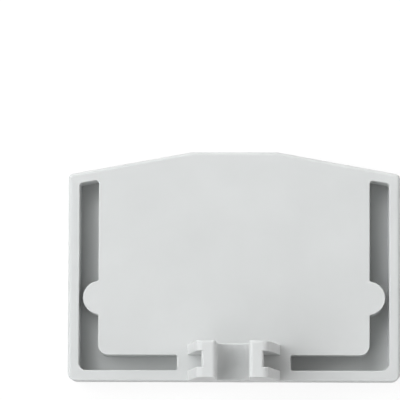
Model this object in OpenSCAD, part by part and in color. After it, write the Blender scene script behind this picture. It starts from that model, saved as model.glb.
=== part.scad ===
// End cover for a strip of panel-mounted terminal blocks, moulded in one piece:
// a plate with sloping shoulders, a blind groove round each side of its raised
// centre, and a slotted screw lug that stands on its foot.
// Millimetres. The plate lies on its plain back: the foot is towards -Y, the lug points up.

/* [Plate] */
// Width over the two upright sides
plate_w = 32; // [26:0.5:48]
// Height from the foot to the crown
plate_h = 22.1; // [17:0.1:36]
// Thickness from the plain back to the front face
plate_t = 4; // [2.5:0.1:8]
// Length of the level crown between the shoulders
crown_w = 8.4; // [4:0.1:16]
// Fall of each shoulder from the crown to the side
shoulder_drop = 2.15; // [0.5:0.05:4]
// Corner radius where a side meets the foot
foot_corner_r = 0.8; // [0.5:0.05:2]
// Corner radius where a side meets a shoulder
shoulder_corner_r = 0.5; // [0.45:0.05:2]
// Corner radius where a shoulder meets the crown
crown_corner_r = 2; // [0.5:0.5:8]
// Rounding of the front edge
front_edge_r = 0.4; // [0.1:0.05:0.45]
// Rounding of the back edge
back_edge_r = 0.15; // [0.05:0.05:0.4]

/* [Grooves] */
// Rim left outside each groove, along the side and the shoulder
rim_w = 1.05; // [0.6:0.05:2]
// Rim left below each groove, along the foot
foot_rim_w = 1; // [0.6:0.05:1.6]
// Width of the upright arm of each groove
groove_w = 1.9; // [1.2:0.1:3]
// Height of the arm that runs along the foot
foot_groove_h = 1.5; // [0.8:0.1:2.5]
// Wall left under the grooves
groove_floor_t = 1; // [0.5:0.1:1.6]
// Radius of each groove's outer lower corner
groove_corner_r = 0.75; // [0.2:0.05:1]
// Radius of the raised centre's lower corners
centre_corner_r = 0.95; // [0.2:0.05:2]
// Radius of the corners at a groove's two ends
groove_end_r = 0.2; // [0.05:0.05:0.4]

/* [Ears] */
// Radius of the round ear on each side of the raised centre
ear_r = 1.6; // [0.8:0.1:2]
// Clear gap between an ear and the rim
ear_gap = 0.4; // [0.2:0.05:0.8]
// Height of the ears above the foot
ear_h = 8; // [6:0.5:12]

/* [Screw lug] */
// Width of the slot that takes the screw
slot_w = 3.1; // [2.4:0.1:4.5]
// Wall on each side of the slot
lug_wall = 1.35; // [0.8:0.05:2.4]
// Web between the front face and the round end of the slot
lug_web = 1.8; // [0.8:0.1:3]
// Reach of the lug from the front face to its tip
lug_reach = 9.5; // [6:0.1:14]
// Height of the lug above the foot
lug_h = 3.5; // [2.6:0.1:6]
// Thickness of the ribs that brace each wall, one level with the foot and one above
rib_t = 1; // [0.6:0.05:1.2]
// How far a rib stands out from its wall at the front face
rib_root = 1.55; // [0.8:0.05:2.4]
// How far a rib stands out from its wall at the tip
rib_tip = 0.45; // [0.2:0.05:0.7]
// Clear face between the lug and the end of each groove
lug_margin = 1; // [0.4:0.1:2]
// Rounding of the slot's mouth
mouth_r = 0.6; // [0.1:0.05:0.75]
// Rounding of the lug's other tip edges
tip_edge_r = 0.3; // [0.05:0.05:0.4]

/* [Hidden] */
$fn = 48;

// Levels and places that follow from the sizes above
foot_y = -plate_h / 2;
shoulder_y = plate_h / 2 - shoulder_drop;
lug_top_y = foot_y + lug_h;
lug_tip_z = plate_t + lug_reach;
slot_axis_z = plate_t + lug_web + slot_w / 2;
wall_x = slot_w / 2 + lug_wall;
rib_root_x = wall_x + rib_root;
rib_tip_x = wall_x + rib_tip;
groove_out_x = plate_w / 2 - rim_w;
groove_in_x = groove_out_x - groove_w;
groove_end_x = rib_root_x + lug_margin;
groove_low_y = foot_y + foot_rim_w;
groove_high_y = groove_low_y + foot_groove_h;
ear_x = groove_out_x - ear_gap - ear_r;
// A cut runs this far past the face that it opens
overcut = 1;
// The grooves' rounds stand this much proud of their slanting sides, so that they join cleanly
groove_seam = 0.0005;

// The shoulder's fall per millimetre of width, and its line shifted in by the rim
shoulder_slope = shoulder_drop / (plate_w / 2 - crown_w / 2);
shoulder_rim = rim_w * norm([1, shoulder_slope]);
function groove_top_y(x) = shoulder_y + (plate_w / 2 - x) * shoulder_slope - shoulder_rim;

// A rounded corner is [x, y, radius]. These give its place in a closed list, anticlockwise.
function place(corner) = [corner.x, corner.y];
function toward(from, to) = (to - from) / norm(to - from);
function back_way(list, i) = toward(place(list[i]), place(list[(i + len(list) - 1) % len(list)]));
function on_way(list, i) = toward(place(list[i]), place(list[(i + 1) % len(list)]));
function half_angle(list, i) = acos(back_way(list, i) * on_way(list, i)) / 2;
function arc_start(list, i) = place(list[i]) + back_way(list, i) * list[i].z / tan(half_angle(list, i));
function arc_end(list, i) = place(list[i]) + on_way(list, i) * list[i].z / tan(half_angle(list, i));
function arc_centre(list, i) =
    let (inward = back_way(list, i) + on_way(list, i))
    place(list[i]) + inward / norm(inward) * list[i].z / sin(half_angle(list, i));
function turns_left(list, i) = cross(on_way(list, i), back_way(list, i)) > 0;

// A round fan that fills or hollows one corner, standing proud of its straight sides by a seam
module corner_fan(list, i, seam) {
    centre = arc_centre(list, i);
    beyond = place(list[i]) * 1.5 - centre * 0.5;
    lap = list[i].z / 4;
    intersection() {
        translate(centre) circle(r = list[i].z + seam);
        polygon([
            centre,
            arc_start(list, i) + back_way(list, i) * lap,
            beyond,
            arc_end(list, i) + on_way(list, i) * lap,
        ]);
    }
}

// A flat shape whose corners have each their own radius, inward or outward
module rounded_shape(list, seam = 0) {
    difference() {
        union() {
            polygon([for (i = [0 : len(list) - 1]) each [arc_start(list, i), arc_end(list, i)]]);
            for (i = [0 : len(list) - 1])
                if (list[i].z > 0 && turns_left(list, i)) corner_fan(list, i, seam);
        }
        for (i = [0 : len(list) - 1])
            if (list[i].z > 0 && !turns_left(list, i)) corner_fan(list, i, seam);
    }
}

plate_corners = [
    [-plate_w / 2, foot_y, foot_corner_r],
    [plate_w / 2, foot_y, foot_corner_r],
    [plate_w / 2, shoulder_y, shoulder_corner_r],
    [crown_w / 2, plate_h / 2, crown_corner_r],
    [-crown_w / 2, plate_h / 2, crown_corner_r],
    [-plate_w / 2, shoulder_y, shoulder_corner_r],
];

// A short post with both rims rounded, for one corner of the plate
module corner_post(r) {
    front_r = min(front_edge_r, r * 0.9);
    back_r = min(back_edge_r, r * 0.9);
    rim = [
        for (a = [-90 : 18 : 0]) [r - back_r + back_r * cos(a), back_r + back_r * sin(a)],
        for (a = [0 : 15 : 90]) [r - front_r + front_r * cos(a), plate_t - front_r + front_r * sin(a)],
    ];
    rotate_extrude($fn = 32) polygon(concat([[0, 0]], rim, [[0, plate_t]]));
}

// The plate before it is grooved, stretched over one post in each corner
module plate_blank() {
    hull()
        for (i = [0 : len(plate_corners) - 1])
            translate(arc_centre(plate_corners, i)) corner_post(plate_corners[i].z);
}

// Outline of the right-hand groove, an L that goes round the raised centre and its ear
module groove_outline() {
    difference() {
        rounded_shape([
            [groove_end_x, groove_low_y, groove_end_r],
            [groove_out_x, groove_low_y, groove_corner_r],
            [groove_out_x, groove_top_y(groove_out_x), groove_end_r],
            [groove_in_x, groove_top_y(groove_in_x), groove_end_r],
            [groove_in_x, groove_high_y, centre_corner_r],
            [groove_end_x, groove_high_y, groove_end_r],
        ], groove_seam);
        translate([ear_x, foot_y + ear_h]) circle(r = ear_r);
    }
}

module groove() {
    translate([0, 0, groove_floor_t])
        linear_extrude(plate_t - groove_floor_t + overcut) groove_outline();
}

// Carries a shape drawn in X and Z up from level y by a height h
module standing(y, h) {
    translate([0, y + h, 0]) rotate([90, 0, 0]) linear_extrude(h) children();
}

// One wall of the lug beside the slot, its tip rounded more towards the slot's mouth
module lug_wall_plan() {
    rounded_shape([
        [slot_w / 2, groove_floor_t, 0],
        [wall_x, groove_floor_t, 0],
        [wall_x, lug_tip_z, tip_edge_r],
        [slot_w / 2, lug_tip_z, mouth_r],
    ]);
}

// The same wall with the rib that braces it
module lug_rib_plan() {
    rounded_shape([
        [slot_w / 2, groove_floor_t, 0],
        [rib_root_x, groove_floor_t, 0],
        [rib_root_x, plate_t, 0],
        [rib_tip_x, lug_tip_z, tip_edge_r],
        [slot_w / 2, lug_tip_z, mouth_r],
    ]);
}

// The web that closes the slot, hollowed to the screw's round
module lug_web_plan() {
    difference() {
        translate([-wall_x, groove_floor_t]) square([2 * wall_x, slot_axis_z - groove_floor_t]);
        translate([0, slot_axis_z]) circle(d = slot_w);
    }
}

// The lug's outline from the side, its tip edges rounded
module lug_side() {
    rotate([90, 0, 90])
        linear_extrude(2 * rib_root_x + 2 * overcut, center = true)
            rounded_shape([
                [foot_y, 0, 0],
                [lug_top_y, 0, 0],
                [lug_top_y, lug_tip_z, tip_edge_r],
                [foot_y, lug_tip_z, tip_edge_r],
            ]);
}

module screw_lug() {
    intersection() {
        union() {
            standing(foot_y, lug_h) lug_web_plan();
            for (side = [0, 1]) mirror([side, 0, 0]) {
                standing(foot_y, lug_h) lug_wall_plan();
                standing(foot_y, rib_t) lug_rib_plan();
                standing(lug_top_y - rib_t, rib_t) lug_rib_plan();
            }
        }
        lug_side();
    }
}

module end_cover() {
    color([0.845, 0.855, 0.85]) {
        difference() {
            plate_blank();
            for (side = [0, 1]) mirror([side, 0, 0]) groove();
        }
        screw_lug();
    }
}

end_cover();
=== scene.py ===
"""Visual model of a terminal block end cover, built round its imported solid, with a small studio.

The moulding is worked out with numpy: an outline is a chain of arcs, a wall is a profile carried along
an outline, and a flat face fills the space between its outlines. A line is an array whose rows hold a
point and its outward normal in one plane, and a surface is a grid of points and normals in space.
Lengths are millimetres until the mesh is made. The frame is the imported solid's own: X across, Y from
foot to crown, Z towards the lug's tip.
"""

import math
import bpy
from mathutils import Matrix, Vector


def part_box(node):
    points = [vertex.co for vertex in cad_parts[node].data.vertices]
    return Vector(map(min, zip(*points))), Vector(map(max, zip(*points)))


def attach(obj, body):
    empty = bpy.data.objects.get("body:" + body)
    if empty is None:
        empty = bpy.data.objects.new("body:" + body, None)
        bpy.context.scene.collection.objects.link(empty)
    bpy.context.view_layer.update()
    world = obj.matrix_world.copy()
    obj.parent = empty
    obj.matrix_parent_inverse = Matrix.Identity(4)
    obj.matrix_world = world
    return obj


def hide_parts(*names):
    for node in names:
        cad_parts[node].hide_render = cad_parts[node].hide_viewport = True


bl_info = {
    "name": "Terminal Block End Cover",
    "version": (1, 0, 0),
    "blender": (4, 5, 0),
    "location": "View3D > Sidebar > End Cover",
    "description": "Builds a moulded terminal block end cover and a plain studio for it",
    "category": "Add Mesh",
}

from typing import NamedTuple

import bpy
import numpy as np
from bpy.props import FloatProperty, FloatVectorProperty, PointerProperty
from mathutils import Matrix, Vector
from mathutils.geometry import delaunay_2d_cdt

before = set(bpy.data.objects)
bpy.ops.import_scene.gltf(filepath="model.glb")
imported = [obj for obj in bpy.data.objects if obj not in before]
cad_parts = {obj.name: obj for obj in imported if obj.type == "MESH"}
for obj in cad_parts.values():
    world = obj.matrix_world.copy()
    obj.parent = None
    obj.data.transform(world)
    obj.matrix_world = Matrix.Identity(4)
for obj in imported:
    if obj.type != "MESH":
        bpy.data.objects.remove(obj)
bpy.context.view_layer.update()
LOW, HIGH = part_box("end_cover")

# A millimetre in metres, and the decimals of a millimetre to which places agree
MM = 0.001
DECIMALS = 4
# Points nearer to each other than this, in millimetres, count as one point of an outline
TOUCHING = 1e-6
# Steps along a corner's arc, along the slot's half round, and across a rounded edge
ARC_STEPS = 10
ROUND_STEPS = 40
EDGE_STEPS = 6
# Rings of the round floor, and steps round each of them
FLOOR_RINGS = 8
FLOOR_STEPS = 64
# Most values of a noise lie between these two
NOISE_RANGE = (0.3, 0.7)
# Width of the camera's sensor in millimetres, and the nearest and furthest that it sees in metres
SENSOR = 36.0
CLIP = (0.01, 10.0)
WHITE = (1.0, 1.0, 1.0, 1.0)
BLACK = (0.0, 0.0, 0.0, 1.0)


def length(name, description, millimetres):
    """A length property, given in millimetres and kept in metres."""
    return FloatProperty(
        name=name, description=description, default=millimetres * MM, min=0.0, precision=5, unit="LENGTH"
    )


def point(name, description, millimetres):
    """A place, given in millimetres and kept in metres."""
    place = [v * MM for v in millimetres]
    return FloatVectorProperty(
        name=name, description=description, default=place, size=3, precision=5, subtype="TRANSLATION"
    )


def shade(name, description, value):
    """A colour property in linear light."""
    return FloatVectorProperty(
        name=name, description=description, default=value, min=0.0, max=1.0, size=3, subtype="COLOR"
    )


def share(name, description, value, highest=1.0):
    """A plain number between nought and its highest value."""
    return FloatProperty(
        name=name, description=description, default=value, min=0.0, max=highest, subtype="FACTOR"
    )


def turn(name, description, degrees):
    """An angle property, given in degrees and kept in radians."""
    angle = math.radians(degrees)
    return FloatProperty(
        name=name, description=description, default=angle, subtype="ANGLE", unit="ROTATION"
    )


class PlateSizes(bpy.types.PropertyGroup):
    """Sizes of the plate and its edges"""

    width: length("Width", "Over the two upright sides", (HIGH.x - LOW.x) / MM)
    height: length("Height", "From the foot to the crown", (HIGH.y - LOW.y) / MM)
    thickness: length("Thickness", "From the plain back to the front face", 4.0)
    crown: length("Crown", "Length of the level crown between the shoulders", 8.4)
    drop: length("Shoulder drop", "Fall of each shoulder from the crown to the side", 2.15)
    foot_corner: length("Foot corner", "Corner radius where a side meets the foot", 0.8)
    shoulder_corner: length("Shoulder corner", "Corner radius where a side meets a shoulder", 0.5)
    crown_corner: length("Crown corner", "Corner radius where a shoulder meets the crown", 2.0)
    front_edge: length("Front edge", "Rounding of the front edge along the sides and the crown", 0.4)
    foot_edge: length("Foot edge", "Rounding of the front edge along the foot", 0.12)
    back_edge: length("Back edge", "Rounding of the back edge", 0.15)


class GrooveSizes(bpy.types.PropertyGroup):
    """Sizes of the two blind grooves and the ears between them"""

    rim: length("Rim", "Rim outside a groove, along the side and the shoulder", 1.05)
    foot_rim: length("Foot rim", "Rim below a groove, along the foot", 1.0)
    width: length("Width", "Width of the upright arm", 1.9)
    foot_height: length("Foot arm", "Height of the arm along the foot", 1.5)
    floor: length("Floor", "Wall left under the grooves", 1.0)
    outer_corner: length("Outer corner", "Radius of the outer lower corner", 0.75)
    centre_corner: length("Centre corner", "Radius of the raised centre's lower corner", 0.95)
    end_corner: length("End corner", "Radius of the corners at the foot arm's end", 0.2)
    top_corner: length("Top corner", "Radius of the corners at the upright arm's end", 0.34)
    ear: length("Ear", "Radius of the round ear", 1.6)
    ear_gap: length("Ear gap", "Clear gap between an ear and the rim", 0.4)
    ear_height: length("Ear height", "Height of the ears above the foot", 8.0)
    ear_root: length("Ear root", "Fillet where an ear leaves the raised centre", 0.2)
    edge: length("Edge break", "Rounding of the groove's upper edge", 0.05)
    draft: length("Draft", "How much the groove narrows on each side towards its floor", 0.03)
    fillet: length("Floor fillet", "Fillet between the groove's wall and floor", 0.12)


class LugSizes(bpy.types.PropertyGroup):
    """Sizes of the slotted screw lug"""

    slot: length("Slot", "Width of the slot that takes the screw", 3.1)
    wall: length("Wall", "Wall on each side of the slot", 1.35)
    web: length("Web", "Web between the front face and the slot's round end", 1.8)
    height: length("Height", "Height of the lug above the foot", 3.5)
    rib: length("Rib", "Thickness of the ribs", 1.0)
    rib_root: length("Rib root", "How far a rib stands out at the front face", 1.55)
    rib_tip: length("Rib tip", "How far a rib stands out at the tip", 0.47)
    margin: length("Margin", "Clear face between the lug and the end of each groove", 1.0)
    mouth: length("Mouth", "Rounding of the slot's mouth", 0.42)
    tip_corner: length("Tip corner", "Radius of the tip's outer corners between the ribs", 0.25)
    rib_corner: length("Rib corner", "Radius of the tip's outer corners on the ribs", 0.7)
    tip_edge: length("Tip edge", "Rounding of the tip's upper edges", 0.28)
    tip_foot_edge: length("Tip foot edge", "Rounding of the tip's lower edges, next to the foot", 0.12)
    edge: length("Edge break", "Rounding of the lug's long edges", 0.1)
    root_fillet: length("Root fillet", "Fillet between the lug's top and the front face", 0.2)


class FinishLooks(bpy.types.PropertyGroup):
    """Colour and finish of the moulded plastic"""

    colour: shade("Plastic", "Colour of the plastic", (0.6, 0.611, 0.607))
    cloud: share("Clouds", "How far the colour drifts to either side of its mean", 0.015)
    cloud_size: length("Cloud size", "Size of those faint clouds", 4.5)
    roughness: share("Roughness", "Mean roughness of the matte surface", 0.42)
    polish: share("Polish", "How far the roughness drifts to either side of its mean", 0.04)
    polish_size: length("Polish size", "Size of the patches of unlike roughness", 1.2)
    gloss: share("Gloss", "Strength of the surface's reflections, where a half is plain plastic", 0.1)
    scatter: length("Scatter", "How far light spreads below the surface", 0.15)
    grain: length("Grain", "Size of the fine grain left by the mould", 0.11)
    grain_depth: length("Grain depth", "Depth of that grain", 0.0012)


class StageLooks(bpy.types.PropertyGroup):
    """Floor, light and camera"""

    floor: shade("Floor", "Colour of the floor in bounced light", (0.4, 0.4, 0.4))
    floor_reach: length("Floor reach", "Radius of the round floor", 3000.0)
    shadow: share("Shadow", "Share of the floor's look that takes the shadow", 0.16)
    light: share("Light", "Strength of all the lamps together", 1.0, highest=10.0)
    surround: share("Surround", "Brightness of the surroundings on the foot's side", 1.7, highest=10.0)
    lamp_reach: length("Lamp reach", "From each lamp to the cover", 700.0)
    look_at: point("Look at", "Place in the middle of the picture", (-3.2995, 6.3895, 4.0))
    lens: FloatProperty(
        name="Lens", description="Focal length for a 36 mm sensor", default=326.5, min=1.0, unit="CAMERA"
    )
    distance: length("Distance", "From the camera to the place it looks at", 350.0)
    tilt: turn("Tilt", "Lean of the view towards the foot", -4.848)
    yaw: turn("Yaw", "Lean of the view towards the side", -1.268)
    roll: turn("Roll", "Turn of the picture about its centre", -0.206)


class EndCover(bpy.types.PropertyGroup):
    """Everything that can be set"""

    plate: PointerProperty(type=PlateSizes)
    groove: PointerProperty(type=GrooveSizes)
    lug: PointerProperty(type=LugSizes)
    finish: PointerProperty(type=FinishLooks)
    stage: PointerProperty(type=StageLooks)


class Lamp(NamedTuple):
    """A soft lamp, seen from the cover at an azimuth and an elevation in degrees, with its width and
    height in metres. A white surface that faces it alone would look as bright as its strength."""

    name: str
    azimuth: float
    elevation: float
    width: float
    height: float
    strength: float
    tint: tuple


LAMPS = (
    Lamp("key", 145, 50, 0.75, 0.4, 0.6, (0.98, 0.99, 1.0)),
    Lamp("side", 195, 50, 0.75, 0.4, 0.48, (0.98, 0.99, 1.0)),
    Lamp("top", 130, 66, 0.4, 0.3, 0.12, (0.98, 0.99, 1.0)),
    Lamp("fill", 15, 38, 0.7, 0.4, 0.26, (1.0, 0.98, 0.98)),
    Lamp("rim", 90, 8, 1.0, 0.12, 0.5, (1.0, 0.98, 0.98)),
)

# Glow of the surroundings, as pairs of the elevation's sine and the share of full brightness there
SURROUND_BAND = ((0.0, 0.0), (0.3, 0.05), (0.5, 1.0), (0.65, 1.0), (0.8, 0.0))


def mm(value):
    """A property's metres as millimetres, without the rounding of single precision."""
    return round(value / MM, DECIMALS)


def unit(v):
    """Vectors divided by their length."""
    return v / np.linalg.norm(v, axis=-1, keepdims=True)


def corner_arcs(corners):
    """Arcs (centre x, centre y, radius, start angle, end angle) of an outline's corners (x, y, radius).

    A centre lies on its corner's bisector, radius / sin(half the corner's angle) away, and the arc sweeps
    180 degrees less that angle: anticlockwise at a left turn and clockwise at a right turn.
    """
    corners = np.asarray(corners, float)
    place, radius = corners[:, :2], corners[:, 2]
    back = unit(np.roll(place, 1, 0) - place)
    on = unit(np.roll(place, -1, 0) - place)
    half = np.arccos(np.sum(back * on, 1)) / 2
    centre = place + unit(back + on) * (radius / np.sin(half))[:, None]
    first = place + back * (radius / np.tan(half))[:, None] - centre
    start = np.arctan2(first[:, 1], first[:, 0])
    left = np.sign(on[:, 0] * back[:, 1] - on[:, 1] * back[:, 0])
    return np.column_stack([centre, radius, start, start + left * (np.pi - 2 * half)])


def arc_chain(arcs, steps):
    """The line along arcs that straight lines join.

    point = centre + radius * (cos a, sin a), with a running evenly from start to end; the normal is
    (cos a, sin a), turned round where the arc runs clockwise.
    """
    x, y, radius, start, end = np.asarray(arcs, float).T
    a = start[:, None] + (end - start)[:, None] * np.linspace(0, 1, steps + 1)
    way = np.stack([np.cos(a), np.sin(a)], -1)
    points = np.stack([x, y], -1)[:, None] + radius[:, None, None] * way
    normals = way * np.sign(end - start)[:, None, None]
    line = np.concatenate([points, normals], -1).reshape(-1, 4)
    apart = np.linalg.norm((line - np.roll(line, 1, 0))[:, :2], axis=1) > TOUCHING
    return line[apart]


def quarter_round(radius):
    """Angles a from 0 to 90 degrees, with radius * (1 - sin a) and radius * (1 - cos a) for each."""
    a = np.linspace(0, np.pi / 2, EDGE_STEPS + 1)
    return a, radius * (1 - np.sin(a)), radius * (1 - np.cos(a))


def carry(line, offset, height, lean):
    """The surface of a profile carried along a line.

    point(i, j) = line(j) + outward(j) * offset(i), at height(i), and the normal leans up from the
    outward direction: outward(j) * cos(lean(i)) + Z * sin(lean(i)). The offset and the height may also
    change along the line, as offset(i, j) and height(i, j).
    """
    offset, height, lean = (np.reshape(v, (len(v), -1, 1)) for v in (offset, height, lean))
    points, outward = line[None, :, :2], line[None, :, 2:]
    along = np.ones((1, len(line), 1))
    place = [points + outward * offset, height * along]
    normal = [outward * np.cos(lean), np.sin(lean) * along]
    return np.concatenate(place + normal, -1)


def edge_along(plan, radius, y, way):
    """A rounded edge carried along a plan drawn in X and Z, from a flat face at y that looks along
    way * Y to the plan's own wall.

    Each section is a quarter round of its own radius: plan - outward * radius * (1 - sin a), at
    y - way * radius * (1 - cos a), for a from 0 to 90 degrees. A radius of nought leaves the edge sharp.
    """
    a, inset, drop = (v[:, None] for v in quarter_round(1.0))
    x, z, out_x, out_z = plan.T
    place = [x - out_x * (inset * radius), y - way * drop * radius, z - out_z * (inset * radius)]
    normal = [out_x * np.sin(a), way * np.cos(a) * np.ones(len(plan)), out_z * np.sin(a)]
    return np.stack(place + normal, -1)


def lifted(points, level):
    """Flat points set at one height."""
    return np.column_stack([points, np.full(len(points), level)])


def standing(line, y):
    """A line drawn in X and Z, set in space at one place along Y."""
    x, z, out_x, out_z = line.T
    return np.column_stack([x, np.full(len(line), y), z, out_x, np.zeros(len(line)), out_z])


def mirrored(line):
    """The line on the other side, in the order that keeps an outline anticlockwise."""
    return (line * [-1, 1, -1, 1])[::-1]


class Shell:
    """Gathers surfaces and flat faces with their normals, and joins them at their equal points."""

    def __init__(self):
        self.points, self.normals, self.faces, self.total = [], [], [], 0

    def take(self, points, normals, faces):
        """Adds points with their normals, and faces of one size that number them from nought."""
        self.points.append(points)
        self.normals.append(np.broadcast_to(np.asarray(normals, float), points.shape))
        self.faces.append(np.asarray(faces) + self.total)
        self.total += len(points)

    def grid(self, surface, closed=False):
        """Adds a surface as quads that face along its normals, with its rows closed if asked."""
        rows, cols = surface.shape[:2]
        points, normals = np.split(surface.reshape(-1, 6), 2, axis=1)
        i = np.arange(rows - 1)[:, None] * cols
        j = np.arange(cols if closed else cols - 1)[None]
        k = (j + 1) % cols
        quads = np.stack([i + j, i + k, i + cols + k, i + cols + j], -1).reshape(-1, 4)
        corner = points[quads]
        faced = np.cross(corner[:, 2] - corner[:, 0], corner[:, 3] - corner[:, 1])
        wrong = np.sum(faced * normals[quads].sum(1), 1) < 0
        quads[wrong] = quads[wrong, ::-1]
        self.take(points, normals, quads)

    def flat(self, points, normal):
        """Adds one flat face through points, looking along one normal in place of their own."""
        points = points[:, :3]
        faced = np.cross(points, np.roll(points, -1, 0)).sum(0)
        order = np.arange(len(points))
        self.take(points, normal, [order if faced @ np.array(normal) > 0 else order[::-1]])

    def fill(self, loops, level):
        """Adds the flat face inside the first loop and outside the others, looking up.

        The loops are triangulated together, and a triangle stays where a ray from its middle crosses
        them an odd number of times.
        """
        ends = np.cumsum([len(loop) for loop in loops])
        number = np.arange(ends[-1])
        after = number + 1
        after[ends - 1] = np.concatenate([[0], ends[:-1]])
        flat = np.concatenate(loops)
        edges = np.column_stack([number, after]).tolist()
        _, _, faces, origin, *_ = delaunay_2d_cdt(flat.tolist(), edges, [], 0, TOUCHING)
        faces = np.array(origin)[:, 0][np.array(faces)]
        (x, y), a, b = flat[faces].mean(1).T[:, :, None], flat, flat[after]
        climb = np.where(a[:, 1] == b[:, 1], 1.0, b[:, 1] - a[:, 1])
        crossed = (a[:, 1] > y) != (b[:, 1] > y)
        beyond = x < a[:, 0] + (b[:, 0] - a[:, 0]) * (y - a[:, 1]) / climb
        inside = np.sum(crossed & beyond, 1) % 2 == 1
        self.take(lifted(flat, level), (0, 0, 1), faces[inside])

    def corners(self, place):
        """The vertex of each face corner, the point that its normal comes from, and the faces' sizes.

        Place gives the vertex that each point is joined into. A face that comes to one vertex twice,
        where a rounded edge dies away, keeps a single corner there, with the later point's normal. A
        face with fewer than three corners left is dropped.
        """
        point = np.concatenate([faces.ravel() for faces in self.faces])
        size = np.concatenate([np.full(len(faces), faces.shape[1]) for faces in self.faces])
        face = np.repeat(np.arange(len(size)), size)
        pair = face * len(place) + place[point]
        _, first = np.unique(pair, return_index=True)
        _, last = np.unique(pair[::-1], return_index=True)
        order = np.argsort(first)
        first, last = first[order], (len(pair) - 1 - last)[order]
        size = np.bincount(face[first], minlength=len(size))
        whole = size[face[first]] > 2
        return place[point[first[whole]]], point[last[whole]], size[size > 2]

    def mesh(self, name):
        """The joined mesh in metres, with its normals. Each side of a face has to run the other way once
        in a neighbour, so that the mesh is closed and its faces agree on which side is out."""
        points, normals = np.concatenate(self.points), np.concatenate(self.normals)
        rounded = np.round(points, DECIMALS)
        _, first, place = np.unique(rounded, axis=0, return_index=True, return_inverse=True)
        vertex, source, size = self.corners(place.ravel())
        begin = np.cumsum(size) - size
        after = np.arange(len(vertex)) + 1
        after[begin + size - 1] = begin
        ahead = np.sort(vertex * len(first) + vertex[after])
        behind = np.sort(vertex[after] * len(first) + vertex)
        if not np.array_equal(ahead, behind) or np.any(ahead[1:] == ahead[:-1]):
            raise RuntimeError(f"{name}: its faces don't close up")
        mesh = bpy.data.meshes.new(name)
        mesh.from_pydata((points[first] * MM).tolist(), [], np.split(vertex, begin[1:]))
        mesh.shade_smooth()
        mesh.normals_split_custom_set(normals[source].tolist())
        return mesh


class Layout:
    """Places that follow from the sizes, in millimetres."""

    def __init__(self, cover):
        plate, groove, lug = cover.plate, cover.groove, cover.lug
        self.half = mm(plate.width) / 2
        self.foot = mm(LOW.y)
        self.crown = self.foot + mm(plate.height)
        self.face = mm(plate.thickness)
        self.shoulder = self.crown - mm(plate.drop)
        self.slope = mm(plate.drop) / (self.half - mm(plate.crown) / 2)
        self.front_edge = mm(plate.front_edge)
        self.foot_edge = mm(plate.foot_edge)
        self.back_edge = mm(plate.back_edge)
        self.tip = mm(HIGH.z)
        self.top = self.foot + mm(lug.height)
        self.slot = mm(lug.slot) / 2
        self.slot_axis = self.face + mm(lug.web) + self.slot
        self.wall = self.slot + mm(lug.wall)
        self.rib_root = self.wall + mm(lug.rib_root)
        self.rib_tip = self.wall + mm(lug.rib_tip)
        self.rib_low = self.foot + mm(lug.rib)
        self.rib_high = self.top - mm(lug.rib)
        self.rib_slope = (self.rib_root - self.rib_tip) / (self.tip - self.face)
        self.groove_out = self.half - mm(groove.rim)
        self.groove_in = self.groove_out - mm(groove.width)
        self.groove_end = self.rib_root + mm(lug.margin)
        self.groove_low = self.foot + mm(groove.foot_rim)
        self.groove_high = self.groove_low + mm(groove.foot_height)
        self.shoulder_rim = mm(groove.rim) * math.hypot(1, self.slope)

    def rib_x(self, z):
        """Half the lug's width over its ribs at a height."""
        return self.rib_root - (np.asarray(z) - self.face) * self.rib_slope

    def groove_top(self, x):
        """Upper end of a groove at a place across it, level with the shoulder less its rim."""
        return self.shoulder + (self.half - x) * self.slope - self.shoulder_rim


def plate_outline(cover, at):
    """The plate's outline from the lug's right root round to its left root."""
    plate = cover.plate
    right = [
        (at.half, at.foot, mm(plate.foot_corner)),
        (at.half, at.shoulder, mm(plate.shoulder_corner)),
        (mm(plate.crown) / 2, at.crown, mm(plate.crown_corner)),
    ]
    left = [(-x, y, r) for x, y, r in reversed(right)]
    rounds = arc_chain(corner_arcs(right + left), ARC_STEPS)
    down = (0.0, -1.0)
    return np.concatenate([[(at.rib_root, at.foot, *down)], rounds, [(-at.rib_root, at.foot, *down)]])


def groove_outline(cover, at):
    """The right-hand groove's outline: an L round the raised centre, with the ear's arcs let into it.

    A root arc touches the raised centre's side and the ear, so its own centre is ear + root away from
    the ear's.
    """
    groove = cover.groove
    end, top = mm(groove.end_corner), mm(groove.top_corner)
    outer = [
        (at.groove_end, at.groove_low, end),
        (at.groove_out, at.groove_low, mm(groove.outer_corner)),
        (at.groove_out, at.groove_top(at.groove_out), top),
        (at.groove_in, at.groove_top(at.groove_in), top),
    ]
    inner = [
        (at.groove_in, at.groove_high, mm(groove.centre_corner)),
        (at.groove_end, at.groove_high, end),
    ]
    arcs = corner_arcs(outer + inner)
    ear, root = mm(groove.ear), mm(groove.ear_root)
    ear_x = at.groove_out - mm(groove.ear_gap) - ear
    ear_y = at.foot + mm(groove.ear_height)
    across = at.groove_in + root - ear_x
    rise = math.sqrt((ear + root) ** 2 - across**2)
    lean = math.atan2(rise, across)
    ear_arcs = [
        (ear_x + across, ear_y + rise, root, math.pi, math.pi + lean),
        (ear_x, ear_y, ear, lean, -lean),
        (ear_x + across, ear_y - rise, root, math.pi - lean, math.pi),
    ]
    return arc_chain(np.insert(arcs, len(outer), ear_arcs, 0), ARC_STEPS)


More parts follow.
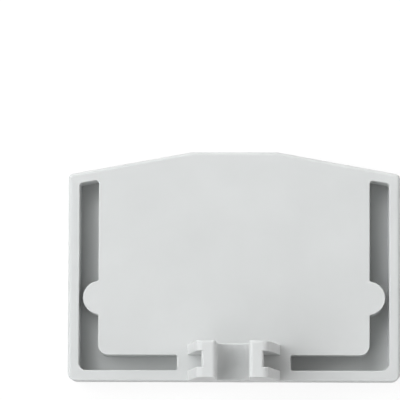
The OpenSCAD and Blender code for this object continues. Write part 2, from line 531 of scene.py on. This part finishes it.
def add_rim(shell, cover, at):
    """Back and rim, returning the front round's surface.

    The rim is a back round, a straight side and a front round carried along the outline. The front round
    grows from the foot's radius to the sides' as the outline turns away from the foot, and stops at the
    lug's slanting sides, where its ends follow x = half the lug's width at their height.
    """
    outline = plate_outline(cover, at)
    a, inset, rise = quarter_round(at.back_edge)
    side = carry(outline, -inset, rise, a - np.pi / 2)
    radius = at.front_edge + (at.front_edge - at.foot_edge) * np.minimum(outline[:, 3], 0.0)
    a, drop, inset = quarter_round(1.0)
    front = carry(outline, np.outer(-inset, radius), at.face - np.outer(drop, radius), a)
    ends = at.rib_x(front[:, 0, 2])
    front[:, 0, 0], front[:, -1, 0] = ends, -ends
    side[:, 0, 0], side[:, -1, 0] = ends[0], -ends[0]
    shell.grid(np.concatenate([side, front[:1]]), closed=True)
    shell.grid(front)
    shell.flat(side[0], (0, 0, -1))
    return front


def add_grooves(shell, cover, at):
    """Both grooves, returning the outlines of their mouths.

    A wall's profile is carried along a groove's outline: a broken edge that starts flat on the face, a
    side that leans in by the draft, and a fillet that ends flat on the floor.
    """
    groove = cover.groove
    floor, draft = mm(groove.floor), mm(groove.draft)
    a, edge_out, edge_down = quarter_round(mm(groove.edge))
    _, fillet_up, fillet_in = quarter_round(mm(groove.fillet))
    offset = np.concatenate([edge_out, -draft - fillet_in])
    height = np.concatenate([at.face - edge_down, floor + fillet_up])
    lean = np.concatenate([np.pi / 2 + a, np.pi - a])
    outline = groove_outline(cover, at)
    mouths = []
    for line in (outline, mirrored(outline)):
        wall = carry(line, offset, height, lean)
        shell.grid(wall, closed=True)
        shell.fill([wall[-1, :, :2]], floor)
        mouths.append(wall[0, :, :2])
    return mouths


def add_face(shell, cover, at, front, mouths):
    """The front face inside the rim's round, outside the grooves and round the lug's root."""
    right = np.array([
        (at.rib_root, at.rib_low),
        (at.wall, at.rib_low),
        (at.wall, at.rib_high),
        (at.rib_root, at.rib_high),
    ])
    across, fillet = root_fillet(cover, at)
    upper = np.column_stack([across, at.top + fillet])
    footprint = np.concatenate([right * [-1, 1], upper, right[::-1]])
    shell.fill([np.concatenate([front[-1, :, :2], footprint])] + mouths, at.face)


def root_fillet(cover, at):
    """Places across the lug's root and the fillet's radius there, which dies away at both ends, over
    twice that radius."""
    radius = mm(cover.lug.root_fillet)
    ends = np.array([at.rib_root, at.rib_root - 2 * radius])
    return np.concatenate([-ends, ends[::-1]]), np.array([0, radius, radius, 0])


def tip_rounds(cover, at):
    """Lines round the right wall's corners at its tip, drawn in X and Z: the ribs' corner, the slot's
    mouth, and the wall's own corner between the ribs. The corners with no radius aren't used."""
    lug = cover.lug
    rib = corner_arcs([
        (at.slot, at.face, 0),
        (at.rib_root, at.face, 0),
        (at.rib_tip, at.tip, mm(lug.rib_corner)),
        (at.slot, at.tip, mm(lug.mouth)),
    ])
    wall = corner_arcs([
        (at.slot, at.face, 0),
        (at.wall, at.face, 0),
        (at.wall, at.tip, mm(lug.tip_corner)),
        (at.slot, at.tip, 0),
    ])
    return [arc_chain([arc], ARC_STEPS) for arc in (rib[2], rib[3], wall[2])]


def add_lug(shell, cover, at, front):
    """The screw lug, with its edges rounded.

    Its plan runs from a root up the slanting rib, round the tip and the mouth, down into the slot's half
    round and back up the other side. Between the ribs, only the wall's own outline stands.
    """
    lug = cover.lug
    tip_edge, tip_foot, edge = mm(lug.tip_edge), mm(lug.tip_foot_edge), mm(lug.edge)
    tip_round, mouth_round, wall_tip = tip_rounds(cover, at)
    slot_end = arc_chain([(0, at.slot_axis, at.slot, 0, -math.pi)], ROUND_STEPS)

    # A rib's side starts below the face, at the foot's round, and has its full edge break above the face
    levels = np.array([at.face - at.foot_edge, at.face, at.face + 2 * edge])
    root = len(levels)
    slant = np.repeat(tip_round[:1, 2:], root, 0)
    rise = np.concatenate([np.column_stack([at.rib_x(levels), levels, slant]), tip_round])
    count = len(rise)
    plan = np.concatenate([rise, mouth_round, slot_end, mirrored(mouth_round), mirrored(rise)])

    def edges_along_plan(at_tip):
        """The plan's edge radii: nought at the roots, the plain edge break, and the tip's own radius."""
        grow = np.linspace(edge, at_tip, ARC_STEPS + 1)
        side = np.concatenate([[0, 0, edge], grow, grow[::-1]])
        return np.concatenate([side, np.full(ROUND_STEPS + 1, edge), side[::-1]])

    # The lug's underside and top, the fillet behind the top, and the slot's wall
    lower = edge_along(plan, edges_along_plan(tip_foot), at.foot, -1)
    upper = edge_along(plan[1:-1], edges_along_plan(tip_edge)[1:-1], at.top, 1)
    across, fillet = root_fillet(cover, at)
    top_root = np.column_stack([across, np.full(len(across), at.top), at.face + fillet])
    shell.flat(lower[0], (0, -1, 0))
    shell.flat(np.concatenate([upper[0, :, :3], top_root[1:-1]]), (0, 1, 0))
    a, out, up = (v[:, None] * np.ones(len(across)) for v in quarter_round(1.0))
    place = [across * np.ones_like(a), at.top + out * fillet, at.face + up * fillet]
    shell.grid(np.stack(place + [0 * a, np.sin(a), np.cos(a)], -1))
    shell.grid(np.concatenate([upper[:, count - 1 : 1 - count], lower[::-1, count:-count]]))

    # The ribs' inner edges, the wall between the ribs, and the tip's flat, on each side
    ledge = np.concatenate([rise[1:], wall_tip[-1:]])
    ledge_edge = np.concatenate([[0], np.full(count - 2, edge), [0]])
    high = edge_along(ledge, ledge_edge, at.rib_high, -1)
    deep = edge_along(ledge, ledge_edge, at.rib_low, 1)
    inner = np.concatenate([[(at.wall, at.face, *wall_tip[0, 2:])], wall_tip])
    inner_high, inner_low = standing(inner, at.rib_high), standing(inner, at.rib_low)
    tip_x, wall_x, mouth_x = tip_round[-1, 0], wall_tip[-1, 0], mouth_round[0, 0]
    tip_face = np.array([
        (mouth_x, at.foot + tip_foot),
        (tip_x, at.foot + tip_foot),
        (tip_x, at.rib_low - edge),
        (wall_x, at.rib_low),
        (wall_x, at.rib_high),
        (tip_x, at.rib_high + edge),
        (tip_x, at.top - tip_edge),
        (mouth_x, at.top - tip_edge),
    ])
    surfaces = (
        np.concatenate([upper[:, : count - 1], high[::-1, :-1]]),
        np.concatenate([deep[:, root - 1 : -1], lower[::-1, root:count]]),
        upper[:, count - 2 : count],
        lower[:, count - 1 : count + 1],
        high[:, -2:],
        deep[:, -2:],
        deep[:, :root],
        lower[:, 1 : root + 1],
        np.stack([inner_low, inner_high]),
    )
    low_side = np.concatenate([deep[-1, :root], lower[-1, root:0:-1], front[:, 0]])
    low_way = standing(rise[:1], 0)[0, 3:]
    for side in (1, -1):
        flip = np.array([side, 1, 1, side, 1, 1])
        for surface in surfaces:
            shell.grid(surface * flip)
        shell.flat(low_side * flip, low_way * flip[3:])
        shell.flat(np.concatenate([inner_high, high[0, -2::-1]]) * flip, (0, -1, 0))
        shell.flat(np.concatenate([inner_low, deep[0, -2::-1]]) * flip, (0, 1, 0))
        shell.flat(lifted(tip_face, at.tip) * flip[:3], (0, 0, 1))


def plastic(looks):
    """Matte moulded plastic: a fine even grain in the surface, and faint clouds in colour and gloss."""
    material = bpy.data.materials.new("grey_moulded_plastic")
    material.use_nodes = True
    nodes, links = material.node_tree.nodes, material.node_tree.links
    shader = nodes["Principled BSDF"]
    place = nodes.new("ShaderNodeTexCoord")

    def noise(size, detail):
        """A noise in the piece's own coordinates, with patches of about a size."""
        cloud = nodes.new("ShaderNodeTexNoise")
        cloud.inputs["Scale"].default_value = 1.0 / size
        cloud.inputs["Detail"].default_value = detail
        links.new(place.outputs["Object"], cloud.inputs["Vector"])
        return cloud.outputs["Fac"]

    def spread(source, low, high):
        """A noise stretched evenly to run from a low value to a high one."""
        between = nodes.new("ShaderNodeMapRange")
        between.inputs["From Min"].default_value, between.inputs["From Max"].default_value = NOISE_RANGE
        between.inputs["To Min"].default_value, between.inputs["To Max"].default_value = low, high
        links.new(source, between.inputs["Value"])
        return between.outputs["Result"]

    colour = np.array(looks.colour)
    tone = nodes.new("ShaderNodeMix")
    tone.data_type = "RGBA"
    tone.inputs["A"].default_value = (*(colour * (1.0 - looks.cloud)), 1.0)
    tone.inputs["B"].default_value = (*np.minimum(colour * (1.0 + looks.cloud), 1.0), 1.0)
    links.new(spread(noise(looks.cloud_size, detail=3.0), 0.0, 1.0), tone.inputs["Factor"])
    links.new(tone.outputs["Result"], shader.inputs["Base Color"])
    smooth, rough = looks.roughness - looks.polish, looks.roughness + looks.polish
    links.new(spread(noise(looks.polish_size, detail=4.0), smooth, rough), shader.inputs["Roughness"])
    shader.inputs["Specular IOR Level"].default_value = looks.gloss
    shader.inputs["Subsurface Weight"].default_value = 1.0
    shader.inputs["Subsurface Radius"].default_value = (1.0, 1.0, 1.0)
    shader.inputs["Subsurface Scale"].default_value = looks.scatter
    bump = nodes.new("ShaderNodeBump")
    bump.inputs["Distance"].default_value = looks.grain_depth
    links.new(noise(looks.grain, detail=2.0), bump.inputs["Height"])
    links.new(bump.outputs["Normal"], shader.inputs["Normal"])
    return material


class ENDCOVER_OT_moulding(bpy.types.Operator):
    """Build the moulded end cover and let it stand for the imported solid"""

    bl_idname = "endcover.moulding"
    bl_label = "Build Moulding"

    def execute(self, context):
        """Makes one closed mesh of plate, grooves and lug."""
        cover = context.scene.end_cover
        at = Layout(cover)
        shell = Shell()
        front = add_rim(shell, cover, at)
        mouths = add_grooves(shell, cover, at)
        add_face(shell, cover, at, front, mouths)
        add_lug(shell, cover, at, front)
        mesh = shell.mesh("cover_moulding")
        mesh.materials.append(plastic(cover.finish))
        piece = bpy.data.objects.new("cover_moulding", mesh)
        context.scene.collection.objects.link(piece)
        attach(piece, "root")
        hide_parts("end_cover")
        return {"FINISHED"}


def seen_directly(nodes, links):
    """One where the camera, a gloss or a glass sees a surface, and nought for bounced light."""
    path = nodes.new("ShaderNodeLightPath")
    total = path.outputs["Is Camera Ray"]
    for name in ("Is Glossy Ray", "Is Transmission Ray"):
        either = nodes.new("ShaderNodeMath")
        either.operation = "MAXIMUM"
        links.new(total, either.inputs[0])
        links.new(path.outputs[name], either.inputs[1])
        total = either.outputs[0]
    return total


def floor_material(looks):
    """A pale floor that looks white and still takes a soft shadow.

    Seen directly, it is an even white glow mixed with a share of white matte surface, which takes the
    shadow. To bounced light, it is matte in its own colour.
    """
    material = bpy.data.materials.new("pale_floor")
    material.use_nodes = True
    nodes, links = material.node_tree.nodes, material.node_tree.links
    nodes.clear()
    out = nodes.new("ShaderNodeOutputMaterial")
    matte = nodes.new("ShaderNodeBsdfDiffuse")
    matte.inputs["Color"].default_value = (*looks.floor, 1.0)
    bright = nodes.new("ShaderNodeBsdfDiffuse")
    bright.inputs["Color"].default_value = WHITE
    glow = nodes.new("ShaderNodeEmission")
    white = nodes.new("ShaderNodeMixShader")
    white.inputs["Fac"].default_value = looks.shadow
    links.new(glow.outputs[0], white.inputs[1])
    links.new(bright.outputs[0], white.inputs[2])
    either = nodes.new("ShaderNodeMixShader")
    links.new(seen_directly(nodes, links), either.inputs["Fac"])
    links.new(matte.outputs[0], either.inputs[1])
    links.new(white.outputs[0], either.inputs[2])
    links.new(either.outputs[0], out.inputs["Surface"])
    return material


def floor_mesh(reach):
    """A round floor: (r cos a, r sin a, 0), where r is the reach times a ring's share squared, and a
    makes a full turn. One face closes the innermost ring."""
    r = reach * np.linspace(0, 1, FLOOR_RINGS + 1)[1:, None] ** 2
    a = np.linspace(0, 2 * np.pi, FLOOR_STEPS, endpoint=False)[None]
    rings = np.stack([r * np.cos(a), r * np.sin(a), np.zeros_like(r * a)], -1)
    i = np.arange(FLOOR_RINGS - 1)[:, None] * FLOOR_STEPS
    j = np.arange(FLOOR_STEPS)[None]
    k = (j + 1) % FLOOR_STEPS
    quads = np.stack([i + j, i + FLOOR_STEPS + j, i + FLOOR_STEPS + k, i + k], -1).reshape(-1, 4)
    mesh = bpy.data.meshes.new("floor")
    mesh.from_pydata(rings.reshape(-1, 3).tolist(), [], quads.tolist() + j.tolist())
    return mesh


def add_floor(scene, looks):
    """The floor that the cover lies on."""
    mesh = floor_mesh(looks.floor_reach)
    mesh.materials.append(floor_material(looks))
    floor = bpy.data.objects.new("floor", mesh)
    scene.collection.objects.link(floor)


def studio_world(looks):
    """Surroundings that are white where they are seen directly. To bounced light they are a pale band
    all round, which is brightest on the foot's side and falls evenly to nought on the crown's side."""
    world = bpy.data.worlds.new("studio")
    world.use_nodes = True
    nodes, links = world.node_tree.nodes, world.node_tree.links
    nodes.clear()
    out = nodes.new("ShaderNodeOutputWorld")
    sky = nodes.new("ShaderNodeBackground")
    sky.inputs["Color"].default_value = WHITE
    way = nodes.new("ShaderNodeTexCoord")
    split = nodes.new("ShaderNodeSeparateXYZ")
    links.new(way.outputs["Generated"], split.inputs["Vector"])

    # The ramp keeps one dark stop for the zenith, and the band's own stops are added below it
    band = nodes.new("ShaderNodeValToRGB")
    band.color_ramp.interpolation = "EASE"
    stops = band.color_ramp.elements
    stops.remove(stops[1])
    stops[0].color = BLACK
    stops[0].position = 1.0
    for height, glow in SURROUND_BAND:
        stops.new(height).color = (glow, glow, glow, 1.0)
    links.new(split.outputs["Z"], band.inputs["Fac"])

    side = nodes.new("ShaderNodeMapRange")
    side.inputs["From Min"].default_value, side.inputs["From Max"].default_value = -1.0, 1.0
    side.inputs["To Min"].default_value, side.inputs["To Max"].default_value = looks.surround, 0.0
    links.new(split.outputs["Y"], side.inputs["Value"])
    both = nodes.new("ShaderNodeMath")
    both.operation = "MULTIPLY"
    links.new(band.outputs["Color"], both.inputs[0])
    links.new(side.outputs["Result"], both.inputs[1])

    either = nodes.new("ShaderNodeMix")
    links.new(seen_directly(nodes, links), either.inputs["Factor"])
    links.new(both.outputs[0], either.inputs["A"])
    either.inputs["B"].default_value = 1.0
    links.new(either.outputs["Result"], sky.inputs["Strength"])
    links.new(sky.outputs[0], out.inputs["Surface"])
    return world


def add_lamps(scene, looks):
    """The soft lamps, each turned to the cover.

    A lamp at elevation e and azimuth a stands at reach * (cos e cos a, cos e sin a, sin e). Its power is
    strength * (pi * reach) squared, which lights a white surface that faces it to that strength.
    """
    for soft in LAMPS:
        lamp = bpy.data.lights.new(soft.name, "AREA")
        lamp.shape = "RECTANGLE"
        lamp.size, lamp.size_y = soft.width, soft.height
        lamp.color = soft.tint
        lamp.energy = looks.light * soft.strength * (math.pi * looks.lamp_reach) ** 2
        e, a = math.radians(soft.elevation), math.radians(soft.azimuth)
        way = Vector((math.cos(e) * math.cos(a), math.cos(e) * math.sin(a), math.sin(e)))
        stand = bpy.data.objects.new(soft.name, lamp)
        stand.location = way * looks.lamp_reach
        stand.rotation_euler = way.to_track_quat("Z", "Y").to_euler()
        scene.collection.objects.link(stand)


def add_camera(scene, looks):
    """A long lens that looks down on the face, turned by yaw, tilt and roll about where it looks."""
    lens = bpy.data.cameras.new("camera")
    lens.lens = looks.lens
    lens.sensor_width = SENSOR
    lens.clip_start, lens.clip_end = CLIP
    camera = bpy.data.objects.new("camera", lens)
    roll = Matrix.Rotation(looks.roll, 3, "Z")
    tilt = Matrix.Rotation(looks.tilt, 3, "X")
    yaw = Matrix.Rotation(looks.yaw, 3, "Y")
    turned = (roll @ tilt @ yaw).transposed()
    back = turned @ Vector((0.0, 0.0, looks.distance))
    camera.matrix_world = Matrix.Translation(Vector(looks.look_at) + back) @ turned.to_4x4()
    scene.collection.objects.link(camera)
    scene.camera = camera


class ENDCOVER_OT_stage(bpy.types.Operator):
    """Set up the floor, the light and the camera"""

    bl_idname = "endcover.stage"
    bl_label = "Set Up Stage"

    def execute(self, context):
        """Makes the studio round the cover."""
        scene, looks = context.scene, context.scene.end_cover.stage
        add_floor(scene, looks)
        scene.world = studio_world(looks)
        add_lamps(scene, looks)
        add_camera(scene, looks)
        scene.view_settings.view_transform = "Standard"
        return {"FINISHED"}


class ENDCOVER_PT_panel(bpy.types.Panel):
    """Lists the sizes, the looks and the operators"""

    bl_idname = "ENDCOVER_PT_panel"
    bl_label = "End Cover"
    bl_space_type = "VIEW_3D"
    bl_region_type = "UI"
    bl_category = "End Cover"

    def draw(self, context):
        """Shows each group of values in a box, and the operators below them."""
        cover = context.scene.end_cover
        for group in (cover.plate, cover.groove, cover.lug, cover.finish, cover.stage):
            box = self.layout.box()
            for name in group.__annotations__:
                box.prop(group, name)
        self.layout.operator(ENDCOVER_OT_moulding.bl_idname)
        self.layout.operator(ENDCOVER_OT_stage.bl_idname)


CLASSES = (
    PlateSizes,
    GrooveSizes,
    LugSizes,
    FinishLooks,
    StageLooks,
    EndCover,
    ENDCOVER_OT_moulding,
    ENDCOVER_OT_stage,
    ENDCOVER_PT_panel,
)


def register():
    """Adds the classes and the scene's values."""
    for cls in CLASSES:
        bpy.utils.register_class(cls)
    bpy.types.Scene.end_cover = PointerProperty(type=EndCover)


def unregister():
    """Takes the scene's values and the classes away again."""
    del bpy.types.Scene.end_cover
    for cls in reversed(CLASSES):
        bpy.utils.unregister_class(cls)


def main():
    """Builds the cover and its stage."""
    register()
    bpy.ops.endcover.moulding()
    bpy.ops.endcover.stage()


if __name__ == "__main__":
    main()
